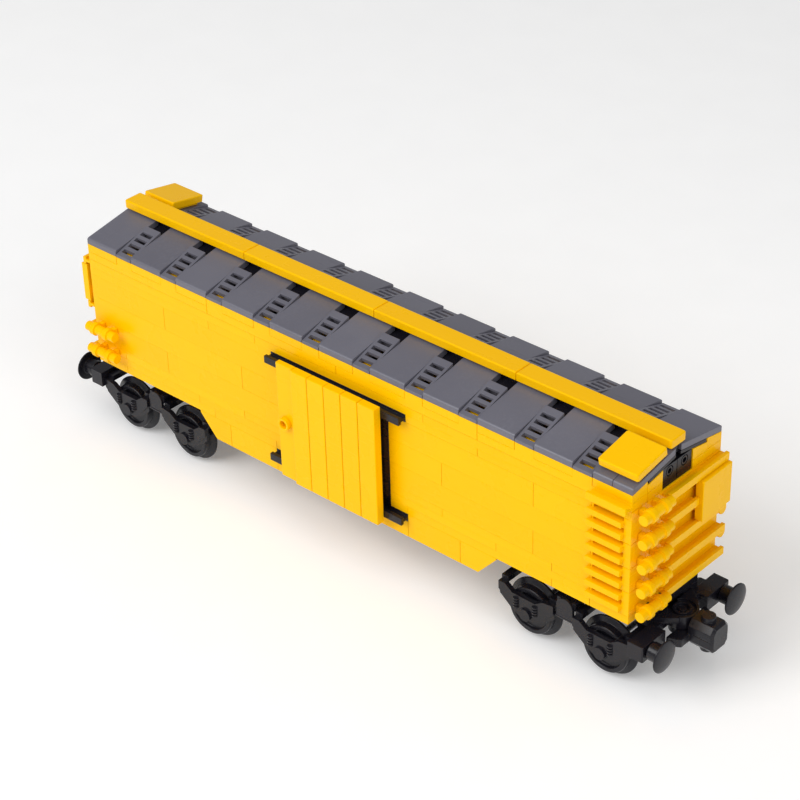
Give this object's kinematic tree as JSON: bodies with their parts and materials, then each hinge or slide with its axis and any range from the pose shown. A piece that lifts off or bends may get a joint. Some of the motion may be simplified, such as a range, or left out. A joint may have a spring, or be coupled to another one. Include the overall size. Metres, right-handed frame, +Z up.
{
  "type": "model box car",
  "caption": "Brick-built model railway box car with sliding side doors, swivelling bogies, free-running wheelsets and swinging magnetic couplers.",
  "frame": {"origin": "middle of the car, on the plane its wheel flanges stand on", "axes": "+X along the car towards the front end, -Y the near side, +Z up"},
  "size_m": [0.2964, 0.0636, 0.0914],
  "materials": {
    "yellow_plastic": "moulded, glossy",
    "grey_plastic": "moulded, satin",
    "black_plastic": "moulded, glossy",
    "axle_steel": "drawn rod",
    "magnet_steel": "plated"
  },
  "bodies": {
    "car_body": {"door_jambs": "black_plastic", "door_rails_far": "black_plastic", "door_rails_near": "black_plastic", "eave_far": "yellow_plastic", "eave_near": "yellow_plastic", "end_handles_front": "yellow_plastic", "end_handles_rear": "yellow_plastic", "end_panel_front": "yellow_plastic", "end_panel_rear": "yellow_plastic", "end_rails_front": "yellow_plastic", "end_rails_rear": "yellow_plastic", "end_vents_front": "black_plastic", "end_vents_rear": "black_plastic", "end_wall_front": "yellow_plastic", "end_wall_rear": "yellow_plastic", "floor_deck": "black_plastic", "ladder_far": "yellow_plastic", "ladder_near": "yellow_plastic", "pivot_pins": "black_plastic", "roof_frame": "black_plastic", "roof_grilles_far": "grey_plastic", "roof_grilles_near": "grey_plastic", "roof_hatch_far": "yellow_plastic", "roof_hatch_near": "yellow_plastic", "roof_slabs_far": "grey_plastic", "roof_slabs_near": "grey_plastic", "running_board": "yellow_plastic", "side_grabs_far": "yellow_plastic", "side_grabs_near": "yellow_plastic", "sill_far": "yellow_plastic", "sill_near": "yellow_plastic", "wall_lower_far": "yellow_plastic", "wall_lower_near": "yellow_plastic", "wall_upper_far": "yellow_plastic", "wall_upper_near": "yellow_plastic"},
    "door_near": {"door_ring_near": "yellow_plastic", "door_shoe_near": "yellow_plastic", "door_strips_near": "yellow_plastic"},
    "door_far": {"door_ring_far": "yellow_plastic", "door_shoe_far": "yellow_plastic", "door_strips_far": "yellow_plastic"},
    "bogie_front": {"bogie_plate_front": "black_plastic", "buffer_beam_front": "black_plastic", "wheel_holders_front": "black_plastic"},
    "wheelset_inner_front": {"axle_inner_front": "axle_steel", "wheels_inner_front": "black_plastic"},
    "wheelset_outer_front": {"axle_outer_front": "axle_steel", "wheels_outer_front": "black_plastic"},
    "coupler_arm_front": {"coupler_front": "black_plastic", "magnet_front": "magnet_steel"},
    "bogie_rear": {"bogie_plate_rear": "black_plastic", "buffer_beam_rear": "black_plastic", "wheel_holders_rear": "black_plastic"},
    "wheelset_inner_rear": {"axle_inner_rear": "axle_steel", "wheels_inner_rear": "black_plastic"},
    "wheelset_outer_rear": {"axle_outer_rear": "axle_steel", "wheels_outer_rear": "black_plastic"},
    "coupler_arm_rear": {"coupler_rear": "black_plastic", "magnet_rear": "magnet_steel"}
  },
  "joints": [
    {"name": "door_near_slide", "type": "slide", "parent": "car_body", "child": "door_near", "axis": [1, 0, 0], "range_m": [-0.024, 0.024]},
    {"name": "door_far_slide", "type": "slide", "parent": "car_body", "child": "door_far", "axis": [-1, 0, 0], "range_m": [-0.024, 0.024]},
    {"name": "bogie_front_swivel", "type": "hinge", "parent": "car_body", "child": "bogie_front", "pos_m": [0.1, 0, 0.027], "axis": [0, 0, 1], "range_deg": [-15, 15]},
    {"name": "wheelset_inner_front_spin", "type": "hinge", "parent": "bogie_front", "child": "wheelset_inner_front", "pos_m": [0.084, 0, 0.0112], "axis": [0, 1, 0], "continuous": true},
    {"name": "wheelset_outer_front_spin", "type": "hinge", "parent": "bogie_front", "child": "wheelset_outer_front", "pos_m": [0.116, 0, 0.0112], "axis": [0, 1, 0], "continuous": true},
    {"name": "coupler_front_swivel", "type": "hinge", "parent": "bogie_front", "child": "coupler_arm_front", "pos_m": [0.1325, 0, 0.0184], "axis": [0, 0, 1], "range_deg": [-25, 25]},
    {"name": "bogie_rear_swivel", "type": "hinge", "parent": "car_body", "child": "bogie_rear", "pos_m": [-0.1, 0, 0.027], "axis": [0, 0, 1], "range_deg": [-15, 15]},
    {"name": "wheelset_inner_rear_spin", "type": "hinge", "parent": "bogie_rear", "child": "wheelset_inner_rear", "pos_m": [-0.084, 0, 0.0112], "axis": [0, 1, 0], "continuous": true},
    {"name": "wheelset_outer_rear_spin", "type": "hinge", "parent": "bogie_rear", "child": "wheelset_outer_rear", "pos_m": [-0.116, 0, 0.0112], "axis": [0, 1, 0], "continuous": true},
    {"name": "coupler_rear_swivel", "type": "hinge", "parent": "bogie_rear", "child": "coupler_arm_rear", "pos_m": [-0.1325, 0, 0.0184], "axis": [0, 0, 1], "range_deg": [-25, 25]}
  ]
}
